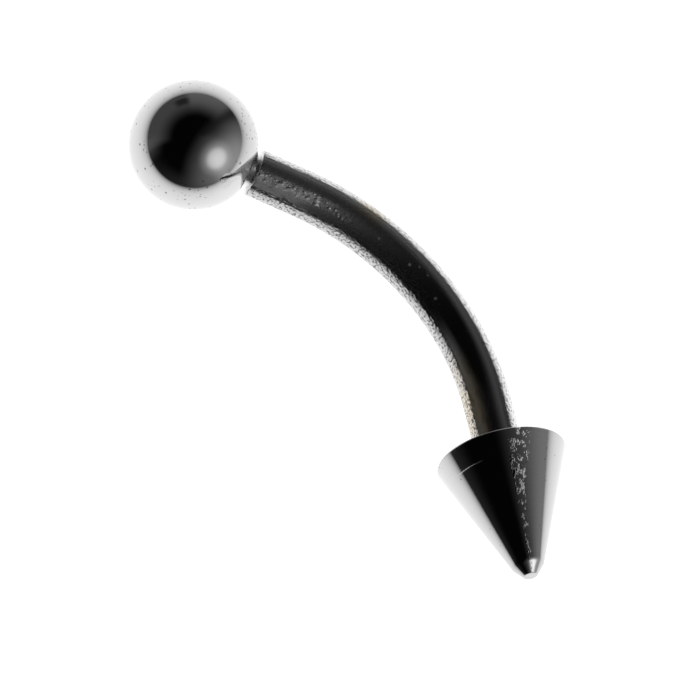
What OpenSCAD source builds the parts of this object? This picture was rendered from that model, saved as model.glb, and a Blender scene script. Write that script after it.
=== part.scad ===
// Curved barbell for an eyebrow piercing: a bent round bar with a threaded post
// at each end, a ball screwed onto one post and a spike onto the other.
// It lies as it rests by itself, on the ball, the spike's rim and the outside of
// the bend. Millimetres, +Z up, origin on the table under the middle of its box.

/* [Bar] */
// Diameter of the bar
bar_d = 1.2; // [0.8:0.05:1.6]
// Radius of the bend, to the middle of the bar
bend_r = 6.65; // [5:0.05:12]
// Angle that the bend turns through
bend_angle = 63; // [30:1:90]
// Straight length of bar at each end of the bend
straight = 1.35; // [0.8:0.05:4]
// Chamfer around the shoulder at each end of the bar
shoulder_chamfer = 0.04; // [0.02:0.01:0.1]

/* [Threaded posts] */
// Length of each post, out from the shoulder
post_len = 1.6; // [1:0.05:2]
// How far the thread's crests lie below the side of the bar
thread_step = 0.03; // [0.01:0.01:0.1]
// Distance between two turns of the thread
pitch = 0.25; // [0.2:0.05:0.4]
// Gap between the shoulder and the foot of the thread's first turn
thread_gap = 0.01; // [0:0.01:0.3]
// Direction around the post in which the thread starts
thread_start = 225; // [0:15:345]
// Chamfer at the end of the post
post_chamfer = 0.08; // [0.02:0.01:0.15]

/* [Bores] */
// Gap all round between the thread's crests and the bore that they go into
bore_clearance = 0.03; // [0.02:0.01:0.08]
// Room left in the bore past the end of the post
bore_end_room = 0.1; // [0.05:0.01:0.3]
// Width of the countersink at the mouth of a bore
countersink = 0.05; // [0.02:0.01:0.12]

/* [Ball] */
// Diameter of the ball
ball_d = 3.2; // [2.5:0.1:6]
// Width of the flat ring around the ball's countersink
face_rim = 0.1; // [0.02:0.01:0.2]
// Gap between the ball's flat and the shoulder
ball_gap = 0.22; // [0.02:0.01:0.5]

/* [Spike] */
// Diameter of the spike's base
spike_d = 3.2; // [2.5:0.1:6]
// Height of the spike, from its base to the flat at its tip
spike_h = 3.28; // [2.8:0.02:8]
// Diameter at which the blunt tip starts
tip_d = 0.8; // [0.4:0.05:1.2]
// Length of the blunt tip
tip_len = 0.27; // [0.1:0.01:0.6]
// Diameter of the flat at the tip
tip_flat_d = 0.35; // [0.1:0.05:0.6]
// Chamfer around the rim of the base
rim_chamfer = 0.05; // [0.02:0.01:0.15]
// Gap between the spike's base and the shoulder
spike_gap = 0.1; // [0.02:0.01:0.5]

/* [Hidden] */
$fn = 64;

BALL_END = -1;
SPIKE_END = 1;

bar_r = bar_d / 2;
ball_r = ball_d / 2;
spike_r = spike_d / 2;
tip_r = tip_d / 2;
tip_flat_r = tip_flat_d / 2;

// Right-hand thread with 60 degree flanks and flat crests. Its ridge is rooted a
// little way inside the post.
sides_per_turn = 16;
fade_steps = 4;
ridge_sink = 0.02;
crest_r = bar_r - thread_step;
thread_depth = 0.61 * pitch;
root_r = crest_r - thread_depth;
foot_r = root_r - ridge_sink;
flank_len = (crest_r - foot_r) * tan(30);
crest_len = pitch / 8;
foot_len = 2 * flank_len + crest_len;
turns = floor((post_len - post_chamfer - thread_gap - foot_len) / pitch);
thread_steps = turns * sides_per_turn;

bore_r = crest_r + bore_clearance;
mouth_r = bore_r + countersink;
ball_face_r = mouth_r + face_rim;
ball_face_to_centre = sqrt(ball_r * ball_r - ball_face_r * ball_face_r);

// The spike's corners from its rim to its tip, as radius and height above its base
spike_corners = [
    [spike_r, rim_chamfer],
    [tip_r, spike_h - tip_len],
    [tip_flat_r, spike_h]
];

// The bend's centre is the origin of the flat drawing, with the bend towards +Y
half_bend = bend_angle / 2;
shoulder_x = bend_r * sin(half_bend) + straight * cos(half_bend);
shoulder_y = bend_r * cos(half_bend) - straight * sin(half_bend);

// Point on the axis of one end, at a distance out from its shoulder
function on_axis(side, out) =
    [side * (shoulder_x + out * cos(half_bend)), shoulder_y - out * sin(half_bend)];

ball_c = on_axis(BALL_END, ball_gap + ball_face_to_centre);
rim_c = on_axis(SPIKE_END, spike_gap + rim_chamfer);

// Rest on a table: a point of the flat drawing lies fall.x * x + fall.y * y below
// the bend's centre. Each pass sets fall.y so that the ball and the outside of the
// bend are equally low, then fall.x so that the ball and the spike's rim are.
function rise_of_axis(fall) = sin(half_bend) * fall.y - cos(half_bend) * fall.x;
function rim_reach(fall) = spike_r * sqrt(1 - pow(rise_of_axis(fall), 2));
function next_fall_y(fall) =
    (ball_r - bar_r + ball_c.x * fall.x - bend_r * (norm(fall) - fall.y)) / (bend_r - ball_c.y);
function next_fall_x(fall) =
    (fall.y * (rim_c.y - ball_c.y) + rim_reach(fall) - ball_r) / (ball_c.x - rim_c.x);
function settle(fall, passes) =
    passes == 0 ? fall : settle([next_fall_x(fall), next_fall_y(fall)], passes - 1);

fall = settle([0, 0.5], 20);
pitch_angle = asin(fall.x);
lean_angle = asin(fall.y / cos(pitch_angle));
rest_z = ball_c.x * fall.x + ball_c.y * fall.y + ball_r;

// Where a point of the flat drawing comes over the table, in X and Y
function over_table(p) =
    [p.x * cos(pitch_angle) - p.y * sin(lean_angle) * sin(pitch_angle), p.y * cos(lean_angle)];

// How far the round corners of the spike reach in X and Y, towards +1 or -1
spike_axis = over_table([cos(half_bend), -sin(half_bend)]);
across = [sqrt(1 - pow(spike_axis.x, 2)), sqrt(1 - pow(spike_axis.y, 2))];
function spike_reach(i, way) = [
    for (corner = spike_corners)
        over_table(on_axis(SPIKE_END, spike_gap + corner.y))[i] + way * corner.x * across[i]
];
low_x = over_table(ball_c).x - ball_r;
high_x = max(spike_reach(0, 1));
low_y = min(over_table(ball_c).y - ball_r, min(spike_reach(1, -1)));
high_y = max(bend_r * cos(lean_angle) + bar_r, over_table(ball_c).y + ball_r,
             max(spike_reach(1, 1)));
middle = [(low_x + high_x) / 2, (low_y + high_y) / 2];

// From the flat drawing to the barbell lying on the table
module at_rest() {
    translate([-middle.x, -middle.y, rest_z])
        rotate([0, pitch_angle, 0])
            rotate([-lean_angle, 0, 0])
                children();
}

// Draws on the spike's side of the bend, or turned over onto the ball's side
module on_side(side) {
    rotate([0, side == BALL_END ? 180 : 0, 0])
        children();
}

// Turns a piece so that +X is where one end of the bend starts
module from_bend_end() {
    rotate([0, 0, 90 - half_bend])
        children();
}

// Puts a piece drawn along +Z from the shoulder onto one end of the bar
module at_end(side) {
    on_side(side)
        from_bend_end()
            translate([bend_r, -straight, 0])
                rotate([90, 0, 0])
                    children();
}

// The ridge rises out of the post over its first few steps and sinks back at its end
function ridge_height(step) =
    min(1, (step + 1) / (fade_steps + 1), (thread_steps - step + 1) / (fade_steps + 1));

// Section of the ridge at one step of the helix, as radius and height
function ridge_section(step) =
    let (
        foot_z = thread_gap + pitch * step / sides_per_turn,
        top_r = foot_r + (crest_r - foot_r) * ridge_height(step)
    ) [
        [foot_r, foot_z],
        [top_r, foot_z + flank_len],
        [top_r, foot_z + flank_len + crest_len],
        [foot_r, foot_z + foot_len]
    ];

// The thread's ridge, wound up the post
module thread() {
    corners = len(ridge_section(0));
    points = [
        for (step = [0 : thread_steps])
            let (turn = thread_start + 360 * step / sides_per_turn)
                for (p = ridge_section(step))
                    [p.x * cos(turn), p.x * sin(turn), p.y]
    ];
    sides = [
        for (step = [0 : thread_steps - 1])
            for (corner = [0 : corners - 1])
                let (
                    here = corners * step,
                    ahead = here + corners,
                    next = (corner + 1) % corners
                ) each [
                    [here + corner, ahead + next, ahead + corner],
                    [here + corner, here + next, ahead + next]
                ]
    ];
    first_end = [for (corner = [corners - 1 : -1 : 0]) corner];
    last_end = [for (corner = [0 : corners - 1]) corners * thread_steps + corner];
    polyhedron(points, concat([first_end], sides, [last_end]));
}

// Straight end of the bar with its shoulder and threaded post
module bar_end() {
    rotate_extrude()
        polygon([
            [0, -straight],
            [bar_r, -straight],
            [bar_r, -shoulder_chamfer],
            [bar_r - shoulder_chamfer, 0],
            [root_r, 0],
            [root_r, post_len - post_chamfer],
            [root_r - post_chamfer, post_len],
            [0, post_len]
        ]);
    thread();
}

// Half of the bend, run on past its middle so that the two halves fuse
module half_bend_of_bar() {
    overlap_angle = 1;
    from_bend_end()
        rotate_extrude(angle = half_bend + overlap_angle)
            translate([bend_r, 0])
                circle(r = bar_r);
}

// Blind bore for a post, with its mouth at height z
module bore(z) {
    cut = 0.01;
    translate([0, 0, z - cut])
        cylinder(h = post_len + bore_end_room - z + cut, r = bore_r);
    translate([0, 0, z])
        cylinder(h = countersink, r1 = mouth_r, r2 = bore_r);
    translate([0, 0, z - cut])
        cylinder(h = cut, r = mouth_r);
}

module bar() {
    color([0.60, 0.60, 0.61])
        at_rest()
            for (side = [BALL_END, SPIKE_END]) {
                on_side(side) half_bend_of_bar();
                at_end(side) bar_end();
            }
}

module ball() {
    color([0.66, 0.66, 0.67])
        at_rest()
            at_end(BALL_END)
                difference() {
                    translate([0, 0, ball_gap + ball_face_to_centre])
                        sphere(r = ball_r);
                    translate([0, 0, ball_gap - ball_r])
                        cylinder(h = ball_r, r = ball_r);
                    bore(ball_gap);
                }
}

module spike() {
    color([0.56, 0.56, 0.57])
        at_rest()
            at_end(SPIKE_END)
                difference() {
                    translate([0, 0, spike_gap])
                        rotate_extrude()
                            polygon(concat(
                                [[0, spike_h], [0, 0], [spike_r - rim_chamfer, 0]],
                                spike_corners
                            ));
                    bore(spike_gap);
                }
}

bar();
ball();
spike();
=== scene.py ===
"""Looks of the curved eyebrow barbell: the bent bar with its two threaded posts, the
ball and the spike, lying on a pale glossy table under a dark ceiling with one soft
round lamp. Sizes are in millimetres, as in the part's own source, until a mesh is made."""

import math

import bmesh
import bpy
import numpy as np
from mathutils import Matrix

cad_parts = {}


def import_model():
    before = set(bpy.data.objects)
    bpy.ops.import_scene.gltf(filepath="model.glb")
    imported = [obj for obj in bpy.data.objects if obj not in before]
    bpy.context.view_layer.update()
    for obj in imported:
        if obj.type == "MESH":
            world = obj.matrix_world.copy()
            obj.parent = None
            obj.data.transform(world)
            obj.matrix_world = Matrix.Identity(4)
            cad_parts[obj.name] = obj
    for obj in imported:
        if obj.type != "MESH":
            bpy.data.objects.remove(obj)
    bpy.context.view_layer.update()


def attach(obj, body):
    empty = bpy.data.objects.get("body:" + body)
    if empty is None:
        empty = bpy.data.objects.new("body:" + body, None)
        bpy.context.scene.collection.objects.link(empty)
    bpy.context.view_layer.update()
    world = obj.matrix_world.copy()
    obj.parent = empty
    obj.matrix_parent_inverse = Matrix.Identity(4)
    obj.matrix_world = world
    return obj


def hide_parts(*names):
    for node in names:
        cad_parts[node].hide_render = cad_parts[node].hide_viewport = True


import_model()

MM = 0.001

# Bar
BAR_R = 0.6
BEND_R = 6.65
HALF_BEND = math.radians(31.5)
STRAIGHT = 1.35
SHOULDER_ROUND = 0.04
BEND_LEN = 2 * HALF_BEND * BEND_R
BAR_LEN = BEND_LEN + 2 * STRAIGHT

# Threaded posts
POST_LEN = 1.6
POST_CHAMFER = 0.08
POST_TOP = POST_LEN - POST_CHAMFER
CREST_R = 0.57
PITCH = 0.25
THREAD_DEPTH = 0.61 * PITCH
ROOT_R = CREST_R - THREAD_DEPTH
THREAD_GAP = 0.01
THREAD_START = math.radians(225)
THREAD_TURNS = 5

# The thread's ridge: 60 degree flanks, a flat crest, and feet a little way inside the
# post. It starts and ends one step from nothing and rises over five steps of the turn.
FLANK_SLOPE = math.tan(math.radians(30))
RIDGE_SINK = 0.02
FOOT_R = ROOT_R - RIDGE_SINK
FLANK = (CREST_R - FOOT_R) * FLANK_SLOPE
CREST = PITCH / 8
FOOT = 2 * FLANK + CREST
TURN_STEP = 1 / 16
RIDGE_RISE = 5 * TURN_STEP

# Bores. The wall between the countersink and the bottom is tapped.
BORE_R = 0.6
TAPPED_R = BORE_R + 0.002
COUNTERSINK = 0.05
MOUTH_R = BORE_R + COUNTERSINK
BORE_END_ROOM = 0.1
BORE_END = POST_LEN + BORE_END_ROOM
BOTTOM_WALL = 0.05
BOTTOM_CHAMFER = 0.02
GROOVE_DEPTH = 0.07
GROOVE_RUN_IN = 0.12
GROOVE_RUN_OUT = 0.2

# Shares of half a pitch: the land between two grooves, and a groove's slanted side
LAND_SHARE = 0.25
SLANT_SHARE = 0.6

# Ball
BALL_R = 1.6
BALL_GAP = 0.22
FACE_RIM = 0.1
BALL_FACE_R = MOUTH_R + FACE_RIM
BALL_FACE_TO_CENTRE = math.sqrt(BALL_R**2 - BALL_FACE_R**2)
BALL_CENTRE = BALL_GAP + BALL_FACE_TO_CENTRE

# Spike. Its corners are given as radius and height above its base.
SPIKE_R = 1.6
SPIKE_H = 3.28
SPIKE_GAP = 0.1
TIP_R = 0.4
TIP_LEN = 0.27
TIP_FLAT_R = 0.175
RIM_CHAMFER = 0.05
SPIKE_CORNERS = ((SPIKE_R, RIM_CHAMFER), (TIP_R, SPIKE_H - TIP_LEN), (TIP_FLAT_R, SPIKE_H))
TIP_BEND = 0.05
FLAT_BEND = 0.02

# Fineness of the meshes
BAR_COLUMNS = 128
BAR_RINGS = 190
END_COLUMNS = 192
BALL_RINGS = 150
SHARP_ANGLE = math.radians(28)

BALL_END, SPIKE_END = -1, 1
OWN_PLACE = "own_mm"
WHITE = (1.0, 1.0, 1.0, 1.0)


# Where it lies

def on_axis(side, out):
    """Point of the flat drawing on the axis of one end, out from its shoulder."""
    x = BEND_R * math.sin(HALF_BEND) + (STRAIGHT + out) * math.cos(HALF_BEND)
    y = BEND_R * math.cos(HALF_BEND) - (STRAIGHT + out) * math.sin(HALF_BEND)
    return side * x, y


def rest_pose():
    """Turn and shift that lay the flat drawing on its ball, spike rim and bend. A point of
    the drawing lies fall_x * x + fall_y * y below the bend's centre. Each pass makes the
    bend as low as the ball, and the spike's rim as low as the ball."""
    ball = on_axis(BALL_END, BALL_CENTRE)
    rim = on_axis(SPIKE_END, SPIKE_GAP + RIM_CHAMFER)
    passes = 20
    fall_x, fall_y = 0.0, 0.5
    for _ in range(passes):
        rise = math.sin(HALF_BEND) * fall_y - math.cos(HALF_BEND) * fall_x
        reach = SPIKE_R * math.sqrt(1 - rise**2)
        bend_slack = BEND_R * (math.hypot(fall_x, fall_y) - fall_y)
        next_y = (BALL_R - BAR_R + ball[0] * fall_x - bend_slack) / (BEND_R - ball[1])
        fall_x = (fall_y * (rim[1] - ball[1]) + reach - BALL_R) / (ball[0] - rim[0])
        fall_y = next_y
    pitch = math.asin(fall_x)
    lean = math.asin(fall_y / math.cos(pitch))
    turn = np.array(Matrix.Rotation(pitch, 3, "Y") @ Matrix.Rotation(-lean, 3, "X"))

    def over(p):
        return (turn @ np.array([p[0], p[1], 0.0]))[:2]

    # How far a disc about the spike's axis reaches along the table's X and Y, per radius
    across = np.sqrt(1 - over((math.cos(HALF_BEND), -math.sin(HALF_BEND)))**2)
    corners = [(over(on_axis(SPIKE_END, SPIKE_GAP + h)), r * across) for r, h in SPIKE_CORNERS]
    low_x = over(ball)[0] - BALL_R
    high_x = max(middle[0] + reach[0] for middle, reach in corners)
    low_y = min([over(ball)[1] - BALL_R] + [middle[1] - reach[1] for middle, reach in corners])
    high_y = max([BEND_R * math.cos(lean) + BAR_R, over(ball)[1] + BALL_R]
                 + [middle[1] + reach[1] for middle, reach in corners])
    rest_z = ball[0] * fall_x + ball[1] * fall_y + BALL_R
    return turn, np.array([-(low_x + high_x) / 2, -(low_y + high_y) / 2, rest_z])


TURN, SHIFT = rest_pose()


def lay_down(points):
    """From the flat drawing to the table, for points in the last axis."""
    return points @ TURN.T + SHIFT


def end_frame(side):
    """Origin at a shoulder, with local Z out along the post, in table coordinates."""
    x, y = on_axis(side, 0.0)
    out = np.array([side * math.cos(HALF_BEND), -math.sin(HALF_BEND), 0.0])
    radial = np.array([side * math.sin(HALF_BEND), math.cos(HALF_BEND), 0.0])
    axes = np.array([radial, np.cross(out, radial), out]) @ TURN.T
    return lay_down(np.array([x, y, 0.0])), axes


def place_end(side):
    """Function that takes the local points of one end to the table."""
    origin, axes = end_frame(side)
    return lambda local: local @ axes + origin


# Mesh making

class Skin:
    """Collects grids of vertices, then makes one closed mesh of them. Each vertex keeps its
    place in its piece's own axes, which the materials read."""

    def __init__(self):
        self.points, self.own, self.faces = [], [], []
        self.count = 0

    def grid(self, points, own, closed):
        """points and own are rows x columns x 3. Faces join each row to the next."""
        rows, cols = points.shape[:2]
        index = np.arange(rows * cols).reshape(rows, cols) + self.count
        ahead = np.roll(index, -1, axis=1) if closed else index[:, 1:]
        here = index if closed else index[:, :-1]
        quads = np.stack([here[:-1], ahead[:-1], ahead[1:], here[1:]], -1)
        self.faces.append(quads.reshape(-1, 4))
        self.points.append(points.reshape(-1, 3))
        self.own.append(own.reshape(-1, 3))
        self.count += rows * cols

    def build(self, name):
        """Makes the object, welded where its grids meet and sharp at its edges."""
        mesh = bpy.data.meshes.new(name)
        points = np.concatenate(self.points) * MM
        mesh.from_pydata(points.tolist(), [], np.concatenate(self.faces).tolist())
        own = mesh.attributes.new(OWN_PLACE, "FLOAT_VECTOR", "POINT")
        own.data.foreach_set("vector", np.concatenate(self.own).astype(np.float32).ravel())
        bm = bmesh.new()
        bm.from_mesh(mesh)
        bmesh.ops.remove_doubles(bm, verts=bm.verts, dist=0.0002 * MM)
        bmesh.ops.dissolve_degenerate(bm, dist=0.0001 * MM, edges=bm.edges)
        bmesh.ops.recalc_face_normals(bm, faces=bm.faces)
        for edge in bm.edges:
            edge.smooth = edge.calc_face_angle(0.0) < SHARP_ANGLE
        for face in bm.faces:
            face.smooth = True
        bm.to_mesh(mesh)
        bm.free()
        mesh.update()
        obj = bpy.data.objects.new(name, mesh)
        bpy.context.scene.collection.objects.link(obj)
        return obj


def arc(centre, radius, start, end, steps):
    """Points of an arc in a profile, as (r, z), with the angles in degrees."""
    angles = np.radians(np.linspace(start, end, steps + 1))
    return [(centre[0] + radius * math.cos(a), centre[1] + radius * math.sin(a)) for a in angles]


def along(first, last, steps):
    """Points of a straight stretch of a profile, ends included."""
    first, last = np.array(first), np.array(last)
    return [tuple(first + (last - first) * t) for t in np.linspace(0, 1, steps + 1)]


def before(corner, end, distance):
    """Point at a distance from a corner of a profile, towards another point."""
    way = np.array(end) - corner
    return tuple(np.array(corner) + way * (distance / math.hypot(*way)))


def bent(first, corner, last, distance, steps):
    """Points of a soft bend that cuts a corner of a profile, without its first one."""
    start = np.array(before(corner, first, distance))
    middle = np.array(corner)
    end = np.array(before(corner, last, distance))
    shares = np.linspace(0, 1, steps + 1)[1:]
    return [tuple((1 - t)**2 * start + 2 * t * (1 - t) * middle + t**2 * end) for t in shares]


def around(columns):
    """Angles of evenly spaced columns in a full turn."""
    return np.arange(columns) * (2 * math.pi / columns)


def lathe(skin, profile, columns, place):
    """Turns a profile of (r, z) points about the local Z axis."""
    profile = np.array(profile)
    angle = around(columns)
    r, z = profile[:, 0][:, None], profile[:, 1][:, None]
    local = np.stack([r * np.cos(angle), r * np.sin(angle), z + 0 * angle], -1)
    skin.grid(place(local), local, closed=True)


def helix_wall(skin, low, high, marks, radius_at, columns, place, start=0.0, gap=0.0):
    """A round wall between two heights, with rows at the marks of each turn. The rows
    follow the thread, so that its edges stay crisp."""
    angle = start + np.linspace(0, 2 * math.pi, columns + 1)
    rise = PITCH * (angle - start) / (2 * math.pi)
    periods = int(math.ceil((high - low) / PITCH)) + 2
    offsets = np.array([m + PITCH * k for k in range(-2, periods) for m in marks])
    z = np.clip(low + gap + offsets[:, None] + rise[None, :], low, high)
    wide = np.broadcast_to(angle, z.shape)
    r = radius_at(z, wide)
    local = np.stack([r * np.cos(wide), r * np.sin(wide), z], -1)
    skin.grid(place(local), local, closed=False)


def post_radius(z, angle):
    """Radius of the threaded post at a height and direction."""
    part_turn = ((angle - THREAD_START) / (2 * math.pi)) % 1.0
    radius = np.full(z.shape, ROOT_R)
    for whole_turns in range(-1, THREAD_TURNS + 1):
        turn = part_turn + whole_turns
        from_end = np.minimum(turn, THREAD_TURNS - turn) + TURN_STEP
        fade = np.clip(from_end / RIDGE_RISE, 0, 1)
        up = z - (THREAD_GAP + PITCH * turn)
        height = np.minimum(np.minimum(up, FOOT - up) / FLANK, fade)
        radius = np.maximum(radius, FOOT_R + (CREST_R - FOOT_R) * height)
    return radius


def tapped_radius(low, high):
    """Function for the radius of a tapped wall. Its groove is cut outwards from the bore,
    has slanted sides, and runs in and out at the wall's ends."""

    def radius(z, angle):
        turn = (z - low) / PITCH - angle / (2 * math.pi)
        from_land = np.abs(turn % 1.0 - 0.5) * 2
        groove = np.clip((from_land - LAND_SHARE) / SLANT_SHARE, 0, 1)
        run_in = np.clip((z - low) / GROOVE_RUN_IN, 0, 1)
        run_out = np.clip((high - z) / GROOVE_RUN_OUT, 0, 1)
        return TAPPED_R + GROOVE_DEPTH * groove * run_in * run_out

    return radius


# Rows in one turn of a wall: on the ridge's feet, flanks and crest, or evenly spaced
RIDGE_FOOT = RIDGE_SINK * FLANK_SLOPE
POST_MARKS = (
    [RIDGE_FOOT]
    + [FLANK * share for share in (0.3, 0.55, 0.8, 1)]
    + [FLANK + CREST / 2]
    + [FLANK + CREST + FLANK * share for share in (0, 0.2, 0.45, 0.7)]
    + [FOOT - RIDGE_FOOT]
)
BORE_MARKS = [PITCH * row / 12 for row in range(12)]


def bar_side(skin):
    """The bent bar from one shoulder to the other, with both shoulders' faces."""
    edge_r = BAR_R - SHOULDER_ROUND
    face = along((ROOT_R, 0.0), (edge_r, 0.0), 4)
    edge = arc((edge_r, SHOULDER_ROUND), SHOULDER_ROUND, -90, 0, 5)[1:]
    start = face + edge
    places = np.linspace(SHOULDER_ROUND, BAR_LEN - SHOULDER_ROUND, BAR_RINGS)[1:-1]
    end = [(r, BAR_LEN - s) for r, s in reversed(start)]
    rings = np.array(start + [(BAR_R, s) for s in places] + end)
    r, s = rings[:, 0][:, None], rings[:, 1][:, None]
    angle = around(BAR_COLUMNS)
    out, up = r * np.cos(angle), r * np.sin(angle)

    turned = np.clip(s - STRAIGHT, 0, BEND_LEN) / BEND_R - HALF_BEND
    beyond = np.where(s < STRAIGHT, s - STRAIGHT, np.maximum(s - STRAIGHT - BEND_LEN, 0))
    outwards = np.stack([np.sin(turned), np.cos(turned), 0 * turned], -1)
    forwards = np.stack([np.cos(turned), -np.sin(turned), 0 * turned], -1)
    upwards = np.array([0.0, 0.0, 1.0])
    axis = BEND_R * outwards + beyond[..., None] * forwards
    flat = axis + out[..., None] * outwards + up[..., None] * upwards
    own = np.stack([out, up, s - BAR_LEN / 2 + 0 * angle], -1)
    skin.grid(lay_down(flat), own, closed=True)


def make_bar():
    """The bent bar with a threaded and chamfered post at each end."""
    skin = Skin()
    bar_side(skin)
    chamfer = [(ROOT_R - cut, POST_TOP + cut) for cut in (0, POST_CHAMFER / 2, POST_CHAMFER)]
    end_face = [(r, POST_LEN) for r in (0.2, 0.1, 0.0)]
    for side in (BALL_END, SPIKE_END):
        place = place_end(side)
        helix_wall(skin, 0.0, POST_TOP, POST_MARKS, post_radius, BAR_COLUMNS, place,
                   start=THREAD_START, gap=THREAD_GAP)
        lathe(skin, chamfer + end_face, BAR_COLUMNS, place)
    return skin.build("curved_bar")


def bore(skin, mouth, place):
    """Countersunk mouth, tapped wall and bottom of a blind bore."""
    low, high = mouth + COUNTERSINK, BORE_END - BOTTOM_WALL
    lathe(skin, along((MOUTH_R, mouth), (TAPPED_R, low), 3), END_COLUMNS, place)
    helix_wall(skin, low, high, BORE_MARKS, tapped_radius(low, high), END_COLUMNS, place)
    bottom = [(TAPPED_R, high), (TAPPED_R, BORE_END - BOTTOM_CHAMFER)]
    bottom += [(r, BORE_END) for r in (TAPPED_R - BOTTOM_CHAMFER, 0.4, 0.2, 0.0)]
    lathe(skin, bottom, END_COLUMNS, place)


def make_ball():
    """The ball, with a flat ring around its bore."""
    skin = Skin()
    place = place_end(BALL_END)
    bore(skin, BALL_GAP, place)
    face = along((MOUTH_R, BALL_GAP), (BALL_FACE_R, BALL_GAP), 2)
    face_angle = -math.degrees(math.acos(BALL_FACE_R / BALL_R))
    dome = arc((0, BALL_CENTRE), BALL_R, face_angle, 90, BALL_RINGS)[1:]
    lathe(skin, face + dome, END_COLUMNS, place)
    return skin.build("threaded_ball")


def make_spike():
    """The spike: a flat base with a rounded rim, a cone, and a blunt tip with soft edges."""
    skin = Skin()
    place = place_end(SPIKE_END)
    bore(skin, SPIKE_GAP, place)
    base = SPIKE_GAP
    rim, shoulder, flat = [(r, base + h) for r, h in SPIKE_CORNERS]
    top = (0.0, base + SPIKE_H)
    rim_r = SPIKE_R - RIM_CHAMFER
    profile = along((MOUTH_R, base), (rim_r, base), 12)
    profile += arc((rim_r, base + RIM_CHAMFER), RIM_CHAMFER, -90, 0, 5)[1:]
    profile += along(rim, before(shoulder, rim, TIP_BEND), 60)[1:]
    profile += bent(rim, shoulder, flat, TIP_BEND, 6)
    tip_start, tip_end = before(shoulder, flat, TIP_BEND), before(flat, shoulder, FLAT_BEND)
    profile += along(tip_start, tip_end, 6)[1:]
    profile += bent(shoulder, flat, top, FLAT_BEND, 5)
    profile += along(before(flat, top, FLAT_BEND), top, 4)[1:]
    lathe(skin, profile, END_COLUMNS, place)
    return skin.build("threaded_spike")


# Shader nodes

class Nodes:
    """Short calls that add shader nodes to one tree and return one of their outputs."""

    def __init__(self, tree):
        self.tree = tree
        tree.nodes.clear()

    def add(self, kind, *values, out=0, **settings):
        """Adds a node, with links or values for its inputs in their order."""
        node = self.tree.nodes.new(kind)
        for key, value in settings.items():
            setattr(node, key, value)
        for slot, value in enumerate(values):
            self.put(node.inputs[slot], value)
        return node.outputs[out] if node.outputs else node

    def put(self, socket, value):
        """Links another node's output to a socket, or sets its value."""
        if isinstance(value, bpy.types.NodeSocket):
            self.tree.links.new(value, socket)
        else:
            socket.default_value = value

    def math(self, operation, *values, clamp=False):
        return self.add("ShaderNodeMath", *values, operation=operation, use_clamp=clamp)

    def chain(self, operation, first, others):
        """Joins any number of values by one operation."""
        for other in others:
            first = self.math(operation, first, other)
        return first

    def times(self, first, *others):
        return self.chain("MULTIPLY", first, others)

    def plus(self, first, *others):
        return self.chain("ADD", first, others)

    def most(self, first, *others):
        return self.chain("MAXIMUM", first, others)

    def rest_of(self, share):
        """What a share leaves of 1."""
        return self.math("SUBTRACT", 1.0, share)

    def apart(self, value, middle):
        """How far a value is from another, either way."""
        return self.math("ABSOLUTE", self.math("SUBTRACT", value, middle))

    def between(self, share, start, end):
        """Even change from start to end while the share goes from 0 to 1."""
        return self.math("MULTIPLY_ADD", share, end - start, start)

    def degrees(self, radians):
        return self.times(radians, 180 / math.pi)

    def vector(self, operation, *values, out="Vector"):
        return self.add("ShaderNodeVectorMath", *values, operation=operation, out=out)

    def dot(self, first, second):
        return self.vector("DOT_PRODUCT", first, second, out="Value")

    def parts(self, vector):
        """X, Y and Z of a vector."""
        return [self.add("ShaderNodeSeparateXYZ", vector, out=axis) for axis in "XYZ"]

    def own_place(self):
        """Place in the piece's own axes, in millimetres."""
        return self.add("ShaderNodeAttribute", attribute_name=OWN_PLACE, out="Vector")

    def stretched(self, place, x, y, z):
        """Place with each axis scaled, for patterns that are longer one way."""
        return self.vector("MULTIPLY", place, (x, y, z))

    def from_axis(self, place):
        """Distance from the local Z axis."""
        return self.vector("LENGTH", self.stretched(place, 1.0, 1.0, 0.0), out="Value")

    def ramp(self, value, low, high, start=0.0, end=1.0):
        """Smooth change from start to end while value goes from low to high."""
        return self.add("ShaderNodeMapRange", value, low, high, start, end,
                        interpolation_type="SMOOTHSTEP")

    def fall(self, value, low, high):
        """Smooth change from 1 to 0 while value goes from low to high."""
        return self.ramp(value, low, high, 1.0, 0.0)

    def noise(self, place, scale, detail=2.0, roughness=0.5):
        node = self.tree.nodes.new("ShaderNodeTexNoise")
        self.put(node.inputs["Vector"], place)
        self.put(node.inputs["Scale"], scale)
        self.put(node.inputs["Detail"], detail)
        self.put(node.inputs["Roughness"], roughness)
        return node.outputs["Fac"]

    def pits(self, place, scale, share, radius):
        """Scattered round spots: 1 in the middle of a spot and 0 between them. share is the
        part of the scattered points that has a spot."""
        node = self.tree.nodes.new("ShaderNodeTexVoronoi")
        self.put(node.inputs["Vector"], place)
        self.put(node.inputs["Scale"], scale)
        own_value = self.add("ShaderNodeSeparateColor", node.outputs["Color"])
        chosen = self.math("LESS_THAN", own_value, share)
        return self.times(chosen, self.fall(node.outputs["Distance"], 0.0, radius))

    def mix(self, share, first, second):
        """Blend of two colours, by the colour sockets of a mix node."""
        node = self.tree.nodes.new("ShaderNodeMix")
        node.data_type = "RGBA"
        self.put(node.inputs[0], share)
        self.put(node.inputs[6], first)
        self.put(node.inputs[7], second)
        return node.outputs[2]


def new_material(name):
    """Empty material with the calls that fill its node tree."""
    material = bpy.data.materials.new(name)
    material.use_nodes = True
    return material, Nodes(material.node_tree)


def grey(brightness):
    return (brightness, brightness, brightness, 1.0)


def steel(brightness):
    """Grey that is very slightly blue."""
    return (brightness, brightness, brightness + 0.005, 1.0)


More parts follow.
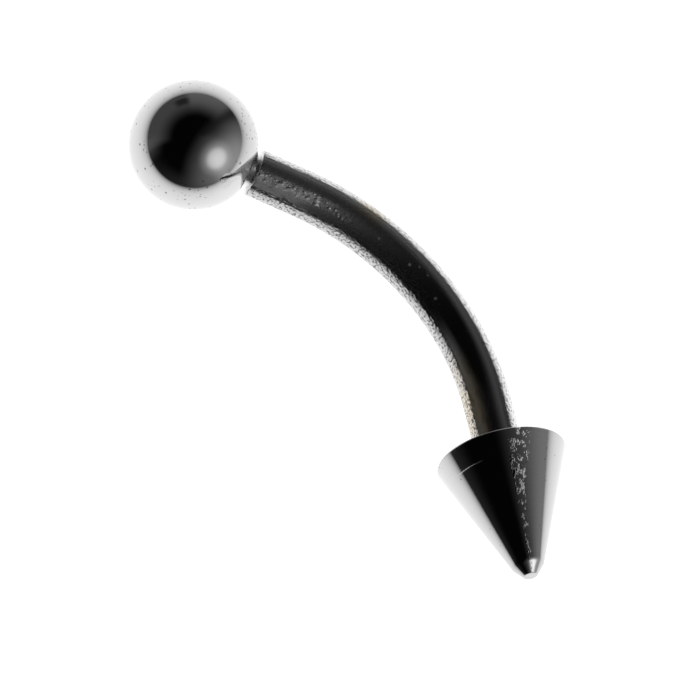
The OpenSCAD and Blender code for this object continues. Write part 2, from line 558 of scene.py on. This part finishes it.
def finish_steel(n, colour, roughness, height, metallic=1.0):
    """Metal with the given colour, roughness and relief, the relief in micrometres."""
    bump = n.tree.nodes.new("ShaderNodeBump")
    n.put(bump.inputs["Strength"], 1.0)
    n.put(bump.inputs["Distance"], 0.001 * MM)
    n.put(bump.inputs["Height"], height)
    shader = n.tree.nodes.new("ShaderNodeBsdfPrincipled")
    n.put(shader.inputs["Metallic"], metallic)
    n.put(shader.inputs["Base Color"], colour)
    n.put(shader.inputs["Roughness"], roughness)
    n.put(shader.inputs["Normal"], bump.outputs["Normal"])
    output = n.tree.nodes.new("ShaderNodeOutputMaterial")
    n.put(output.inputs["Surface"], shader.outputs["BSDF"])


# The ball's steel

def ball_specks(n, own):
    """Tiny specks and clusters of dust, below the top of the ball as it lies."""
    clusters = n.ramp(n.noise(own, 0.9, 1.0), 0.46, 0.58)
    dust = n.times(n.pits(own, scale=13.0, share=0.22, radius=0.5), clusters)
    specks = n.most(n.pits(own, scale=7.0, share=0.18, radius=0.34), dust)
    _, axes = end_frame(BALL_END)
    up = tuple(axes[:, 2] / BALL_R)
    from_centre = n.vector("SUBTRACT", own, (0.0, 0.0, BALL_CENTRE))
    return n.times(specks, n.fall(n.dot(from_centre, up), 0.62, 0.76))


def ball_material():
    """Mirror polish with tiny dark specks."""
    material, n = new_material("mirror_steel")
    own = n.own_place()
    specks = ball_specks(n, own)
    fine = n.noise(own, 40.0)
    colour = n.mix(n.noise(own, 1.3, 3.0), steel(0.61), steel(0.65))
    colour = n.mix(specks, colour, grey(0.08))
    rough = n.plus(n.ramp(fine, 0.3, 0.8, 0.03, 0.06), n.times(specks, 0.2))
    finish_steel(n, colour, rough, height=n.times(fine, 0.15))
    return material


# The bar's steel

def around_bar(n, own, degrees):
    """1 on the line along the bar at this angle about its axis, 0 a right angle away. The
    angle starts outside the bend and goes by the bar's upper side to the inside."""
    angle = math.radians(degrees)
    return n.dot(own, (math.cos(angle) / BAR_R, math.sin(angle) / BAR_R, 0.0))


def stripe(n, own, degrees, edge, full):
    """Stripe along the bar. edge and full are the values of around_bar where it starts and
    where it is full."""
    return n.ramp(around_bar(n, own, degrees), edge, full)


class BarSurface:
    """Masks between 0 and 1 for the marks on the bar, with the patterns that several of its
    looks share. s runs along the bar from its middle, towards the spike."""

    def __init__(self, n):
        own = self.own = n.own_place()
        s = self.s = n.parts(own)[2]
        self.grain = n.noise(own, 22.0, 3.0, 0.6)
        self.scuffs = n.noise(n.stretched(own, 13.0, 13.0, 6.5), 1.0, 3.0, 0.7)
        self.patchy = n.noise(n.stretched(own, 5.0, 5.0, 1.6), 1.0)

        self.thread = n.fall(n.from_axis(own), CREST_R + 0.01, CREST_R + 0.02)
        self.side = n.rest_of(self.thread)
        self.inside = n.times(stripe(n, own, degrees=190, edge=0.84, full=0.89), self.side)
        self.outside = n.times(stripe(n, own, degrees=55, edge=0.88, full=0.95), self.side)
        self.worn = n.fall(s, -1.6, 1.8)
        self.worn_top = n.times(stripe(n, own, degrees=117, edge=0.76, full=0.92), self.side,
                                self.worn)

        # The scuffed streak near the ball, with its bright flecks. Their relief is real; their
        # pale colour is a painted highlight.
        self.streak = n.times(stripe(n, own, degrees=127, edge=0.955, full=0.99),
                              n.fall(s, -4.6, -1.9), n.ramp(self.patchy, 0.32, 0.6))
        self.scuffs_and_sheen = n.times(self.streak, n.ramp(self.scuffs, 0.4, 0.55))
        small = n.pits(n.stretched(own, 11.0, 11.0, 8.0), scale=1.0, share=0.55, radius=0.5)
        large = n.pits(n.stretched(own, 7.0, 7.0, 4.0), scale=1.0, share=0.4, radius=0.5)
        self.flecks_and_glints = n.times(n.most(small, large), self.streak)

        # A rubbed patch beside the streak, and a thin dark line further in
        self.rubbed = n.times(stripe(n, own, degrees=147, edge=0.95, full=0.985),
                              n.fall(s, -4.2, -3.2), n.ramp(self.patchy, 0.3, 0.45))
        line_at = 167
        from_line = n.math("ABSOLUTE", around_bar(n, own, line_at + 90))
        # A thin line along the bar, darker in colour
        self.dark_line = n.times(n.fall(from_line, 0.03, 0.07),
                             stripe(n, own, degrees=line_at, edge=0.5, full=0.6),
                             n.fall(s, -3.2, -2.4))

        # A few single flecks on the ball's half of the bar, painted pale as highlights
        self.scattered = n.times(stripe(n, own, degrees=124, edge=0.93, full=0.98),
                                 n.fall(s, 0.5, 2.5),
                                 n.pits(own, scale=5.5, share=0.36, radius=0.34))


def bar_relief(n, bar):
    """Height of the bar's surface, in micrometres."""
    drawn = n.noise(n.stretched(bar.own, 12.0, 12.0, 0.7), 2.2, 3.0)
    dents = n.noise(bar.own, 12.0, 2.0, 0.6)
    return n.plus(
        n.times(bar.inside, dents, 18.0),
        n.times(bar.outside, dents, 12.0),
        n.times(bar.streak, bar.scuffs, 20.0),
        n.times(bar.flecks_and_glints, 45.0),
        n.times(bar.scattered, 8.0),
        n.times(drawn, n.between(bar.worn, 1.0, 4.0)),
        n.times(bar.grain, n.plus(n.between(bar.worn, 1.0, 3.5), n.times(bar.worn_top, 3.0))),
    )


def bar_colour(n, bar):
    """Steel that is paler outside the bend, with warm tints and brown blotches near the
    spike, a warm spot, a dark web on both sides of the bend, a dark line, and scuffs and
    flecks painted bright as highlights."""
    broad = n.noise(bar.own, 0.9)
    warm = n.times(n.ramp(broad, 0.3, 0.5, 0.5, 1.0), n.ramp(bar.s, 1.8, 3.4),
                   stripe(n, bar.own, degrees=160, edge=0.75, full=0.9))
    tint = n.times(warm, n.ramp(bar.inside, 0.2, 0.8, 1.0, 0.65))
    blotch = n.times(warm, n.ramp(bar.inside, 0.2, 0.8, 0.5, 0.0),
                     n.ramp(bar.patchy, 0.48, 0.56))
    spot_at = -2.0
    spot = n.times(n.ramp(n.apart(bar.s, spot_at), 0.1, 0.6, 0.6, 0.0),
                   stripe(n, bar.own, degrees=80, edge=0.85, full=0.97))
    speckle = n.ramp(n.noise(bar.own, 15.0, 2.0, 0.6), 0.52, 0.58)
    web = n.times(speckle, n.plus(n.times(bar.outside, 0.5), n.times(bar.inside, 0.95)))

    colour = n.mix(n.times(bar.outside, 0.8), steel(0.61), grey(0.85))
    colour = n.mix(n.most(tint, spot), colour, (0.69, 0.59, 0.44, 1.0))
    colour = n.mix(blotch, colour, (0.3, 0.22, 0.14, 1.0))
    colour = n.mix(web, colour, grey(0.12))
    colour = n.mix(n.times(bar.dark_line, 0.95), colour, grey(0.08))
    # Painted highlights: the scuffs and flecks are turned near white
    colour = n.mix(n.most(bar.scuffs_and_sheen, bar.flecks_and_glints, bar.scattered), colour, grey(0.95))
    return n.mix(bar.thread, colour, (0.82, 0.82, 0.83, 1.0))


def bar_roughness(n, bar):
    return n.plus(
        n.ramp(bar.grain, 0.3, 0.7, 0.04, 0.08),
        n.times(bar.worn_top, 0.1),
        n.times(bar.scuffs_and_sheen, 0.3),
        n.times(bar.flecks_and_glints, 0.12),
        n.times(bar.rubbed, 0.4),
        n.times(bar.outside, 0.1),
        n.times(bar.thread, 0.2),
    )


def bar_metal(n, bar):
    """How metallic it is: less where it is worn, and least in the scuffs and flecks, where the
    painted highlights are.
    """
    clean = n.between(n.times(bar.worn, bar.side), 0.98, 0.89)
    pale = n.plus(n.times(bar.scuffs_and_sheen, 0.4), n.times(n.most(bar.flecks_and_glints, bar.scattered), 0.6))
    return n.math("SUBTRACT", clean, pale, clamp=True)


def bar_material():
    """Drawn steel: bending marks on both sides of the bend, a scuffed streak near the ball
    with painted highlights, warm tints near the spike, and bright, rougher threads."""
    material, n = new_material("drawn_steel")
    bar = BarSurface(n)
    finish_steel(n, bar_colour(n, bar), bar_roughness(n, bar), height=bar_relief(n, bar),
                 metallic=bar_metal(n, bar))
    return material


# The spike's steel

# Heights are out from the bar's shoulder, and directions about the axis are in degrees
RIM_BAND = (SPIKE_GAP + 0.03, SPIKE_GAP + 0.06)


def strokes_and_glints(n, own, angle, z):
    """Strokes scattered down one side of the spike, in a band that narrows and fades
    towards its tip: real relief, with a painted highlight in their bright colour."""
    middle = n.ramp(z, 0.2, 2.0, 99.0, 106.0)
    narrowing = n.ramp(z, 0.9, 1.5, 0.75, 1.2)
    band = n.fall(n.times(n.apart(angle, middle), narrowing), 2.0, 9.0)
    fading = n.ramp(z, 1.2, 2.8, 1.0, 0.3)
    rubbed = n.ramp(n.noise(n.stretched(own, 9.0, 9.0, 5.0), 1.0, 3.0, 0.7), 0.53, 0.6)
    return n.times(band, fading, rubbed, n.ramp(z, *RIM_BAND))


def turning_mark(n, angle, z):
    """One fine line that goes part of the way around the spike."""
    mark_z = SPIKE_GAP + 0.59
    middle = 156.0
    line = n.fall(n.apart(z, mark_z), 0.004, 0.014)
    return n.times(line, n.fall(n.apart(angle, middle), 10.0, 22.0))


def painted_tip_highlight(n, angle, z):
    """Painted highlight: a bright patch on one side of the blunt tip, narrower towards its end.
    """
    blunt = SPIKE_GAP + SPIKE_H - TIP_LEN
    middle = 97.0
    degrees_per_mm = 70.0
    on_tip = n.times(n.ramp(z, blunt - 0.02, blunt + 0.04), n.fall(z, blunt + 0.24, blunt + 0.26))
    narrowing = n.times(n.math("SUBTRACT", z, blunt), degrees_per_mm)
    return n.times(on_tip, n.fall(n.plus(n.apart(angle, middle), narrowing), 16.0, 26.0))


def spike_material():
    """Turned steel with small specks, strokes painted bright as highlights, a turning mark,
    a painted dark reflection at the rim and a painted highlight on the tip."""
    material, n = new_material("turned_steel")
    own = n.own_place()
    x, y, z = n.parts(own)
    angle = n.degrees(n.math("ARCTAN2", y, x))
    turned = n.noise(n.stretched(own, 1.0, 1.0, 26.0), 1.5, 3.0)
    grain = n.noise(own, 18.0, 3.0, 0.6)
    specks = n.most(n.pits(own, scale=6.0, share=0.08, radius=0.2),
                    n.pits(own, scale=11.0, share=0.05, radius=0.3))
    # Painted dark reflection: a dark ring on the rim's rounding
    rim = n.times(n.ramp(z, *RIM_BAND, 0.6, 0.0), n.ramp(n.from_axis(own), 1.5, 1.55))
    band = strokes_and_glints(n, own, angle, z)

    height = n.plus(n.times(turned, 0.6), n.times(grain, 0.6), n.times(band, 42.0),
                    n.times(turning_mark(n, angle, z), 6.0))
    colour = n.mix(grain, steel(0.6), steel(0.64))
    colour = n.mix(specks, colour, grey(0.15))
    # Painted highlight: the strokes are turned bright
    colour = n.mix(band, colour, steel(0.9))
    # Painted dark reflection on the rim
    colour = n.mix(rim, colour, grey(0.1))
    # Painted highlight on the tip
    colour = n.mix(painted_tip_highlight(n, angle, z), colour, steel(0.95))
    finish_steel(n, colour, n.ramp(grain, 0.3, 0.7, 0.035, 0.07), height)
    return material


# The room. Directions along the ground are in degrees from +Y towards +X.

def table_material():
    """White light table under a clear glossy sheet. Its lit part ends at a soft straight
    edge not far from the barbell, which shows only in what the steel reflects."""
    material, n = new_material("pale_table")
    edge = math.radians(140)
    towards_edge = (math.sin(edge), math.cos(edge), 0.0)
    reach = n.dot(n.add("ShaderNodeNewGeometry", out="Position"), towards_edge)
    lit = n.ramp(reach, 2 * MM, 36 * MM, 1.0, 0.04)
    lit = n.most(lit, n.add("ShaderNodeLightPath", out="Is Camera Ray"))
    facing = n.add("ShaderNodeLayerWeight", 0.5, out="Facing")
    strength = n.times(lit, n.between(facing, 1.3, 1.12))
    glow = n.add("ShaderNodeEmission", WHITE, strength)
    gloss = n.add("ShaderNodeBsdfGlossy", WHITE, 0.12)
    share = n.add("ShaderNodeFresnel", 1.6)
    both = n.add("ShaderNodeMixShader", share, glow, gloss)
    n.add("ShaderNodeOutputMaterial", both)
    material.cycles.emission_sampling = "NONE"
    return material


def make_table():
    """Wide table, just below the barbell's lowest point."""
    mesh = bpy.data.meshes.new("table")
    half, low = 4000 * MM, -0.004 * MM
    corners = [(-half, -half, low), (half, -half, low), (half, half, low), (-half, half, low)]
    mesh.from_pydata(corners, [], [(0, 1, 2, 3)])
    mesh.materials.append(table_material())
    table = bpy.data.objects.new("table", mesh)
    bpy.context.scene.collection.objects.link(table)


class Sky:
    """Lights of the room, by direction. All angles are in degrees."""

    def __init__(self, n):
        self.n = n
        self.towards = n.vector("NORMALIZE", n.add("ShaderNodeTexCoord", out="Generated"))
        x, y, z = n.parts(self.towards)
        self.height = n.degrees(n.math("ARCSINE", z))
        self.ground = n.math("SQRT", n.plus(n.times(x, x), n.times(y, y)))

    def angle(self, cosine):
        return self.n.degrees(self.n.math("ARCCOSINE", self.n.math("MINIMUM", cosine, 0.99999)))

    def lobe(self, azimuth, elevation, inner, outer, strength):
        """Round light that is full inside one angle from its middle and ends at another."""
        a, e = math.radians(azimuth), math.radians(elevation)
        middle = (math.sin(a) * math.cos(e), math.cos(a) * math.cos(e), math.sin(e))
        off = self.angle(self.n.dot(self.towards, middle))
        return self.n.times(self.n.fall(off, inner, outer), strength)

    def window(self, azimuth, half_width, soft, top, top_soft, strength):
        """Light on the horizon with upright soft sides and a soft top."""
        n = self.n
        a = math.radians(azimuth)
        along_ground = n.dot(self.towards, (math.sin(a), math.cos(a), 0.0))
        off = self.angle(n.math("DIVIDE", along_ground, self.ground))
        sides = n.fall(off, half_width - soft / 2, half_width + soft / 2)
        below_top = n.fall(self.height, top - top_soft / 2, top + top_soft / 2)
        return n.times(sides, below_top, strength)


def make_sky():
    """Dark room: black ceiling, faint walls, a brighter side and one soft round lamp. The
    slot and the patch are places where the walls are darker."""
    world = bpy.data.worlds.new("room")
    bpy.context.scene.world = world
    world.use_nodes = True
    n = Nodes(world.node_tree)
    sky = Sky(n)
    glow = sky.lobe(azimuth=73, elevation=14, inner=0, outer=82, strength=0.244)
    halo = sky.lobe(azimuth=80.5, elevation=37, inner=0, outer=36, strength=0.418)
    lamp = sky.lobe(azimuth=80.7, elevation=36, inner=11.5, outer=23, strength=0.264)
    side = sky.window(azimuth=51, half_width=43, soft=20, top=29, top_soft=60, strength=0.168)
    back = sky.window(azimuth=288, half_width=71, soft=17, top=35, top_soft=37, strength=0.07)
    corner = sky.window(azimuth=328, half_width=25, soft=11, top=19, top_soft=55, strength=0.082)
    edge = sky.window(azimuth=215, half_width=4, soft=38, top=10, top_soft=52, strength=0.157)
    low = sky.window(azimuth=150, half_width=32, soft=90, top=14, top_soft=30, strength=0.019)
    slot = sky.window(azimuth=10, half_width=19, soft=38, top=80, top_soft=6, strength=0.506)
    patch = sky.window(azimuth=294, half_width=9, soft=10, top=24, top_soft=10, strength=0.7)
    patch = n.times(patch, n.ramp(sky.height, 6, 12))
    walls = n.times(n.plus(glow, side, back, corner, edge), n.rest_of(slot), n.rest_of(patch))
    faint = 0.0015
    room = n.add("ShaderNodeBackground", WHITE, n.plus(walls, low, halo, lamp, faint))
    backdrop = n.add("ShaderNodeBackground", WHITE, 1.0)
    seen = n.add("ShaderNodeLightPath", out="Is Camera Ray")
    n.add("ShaderNodeOutputWorld", n.add("ShaderNodeMixShader", seen, room, backdrop))


def make_camera():
    """The photograph's view: nearly straight down, turned a little, from 258 mm. The
    origin's place in the picture is in pixels right of and below its middle."""
    azimuth, elevation, roll = math.radians(-33.409), math.radians(77.223), math.radians(16.439)
    picture_px = 700
    px_per_mm = 40.747
    origin_right_px, origin_down_px = 18.177, -22.734
    sensor = 36.0
    lens_per_sensor = 15.0

    forward = np.array([math.sin(azimuth) * math.cos(elevation),
                        math.cos(azimuth) * math.cos(elevation), -math.sin(elevation)])
    level_right = np.array([math.cos(azimuth), -math.sin(azimuth), 0.0])
    level_down = np.cross(forward, level_right)
    right = math.cos(roll) * level_right - math.sin(roll) * level_down
    down = math.sin(roll) * level_right + math.cos(roll) * level_down
    distance = picture_px * lens_per_sensor / px_per_mm
    to_origin = (origin_right_px * right + origin_down_px * down) / px_per_mm + distance * forward

    camera = bpy.data.cameras.new("camera")
    camera.sensor_fit = "HORIZONTAL"
    camera.sensor_width = sensor
    camera.lens = sensor * lens_per_sensor
    camera.clip_start = 10 * MM
    camera.clip_end = 20000 * MM
    obj = bpy.data.objects.new("camera", camera)
    matrix = np.eye(4)
    matrix[:3, 0] = right
    matrix[:3, 1] = -down
    matrix[:3, 2] = -forward
    matrix[:3, 3] = -to_origin * MM
    obj.matrix_world = Matrix(matrix.tolist())
    bpy.context.scene.collection.objects.link(obj)
    bpy.context.scene.camera = obj


# The scene

make_camera()
make_sky()
make_table()
bpy.context.scene.view_settings.view_transform = "Standard"

for maker, material, node, slot in (
    (make_bar, bar_material, "bar", "bar_steel"),
    (make_ball, ball_material, "ball", "ball_steel"),
    (make_spike, spike_material, "spike", "spike_steel"),
):
    piece = maker()
    piece.data.materials.append(material())
    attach(piece, node)
    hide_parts(node)
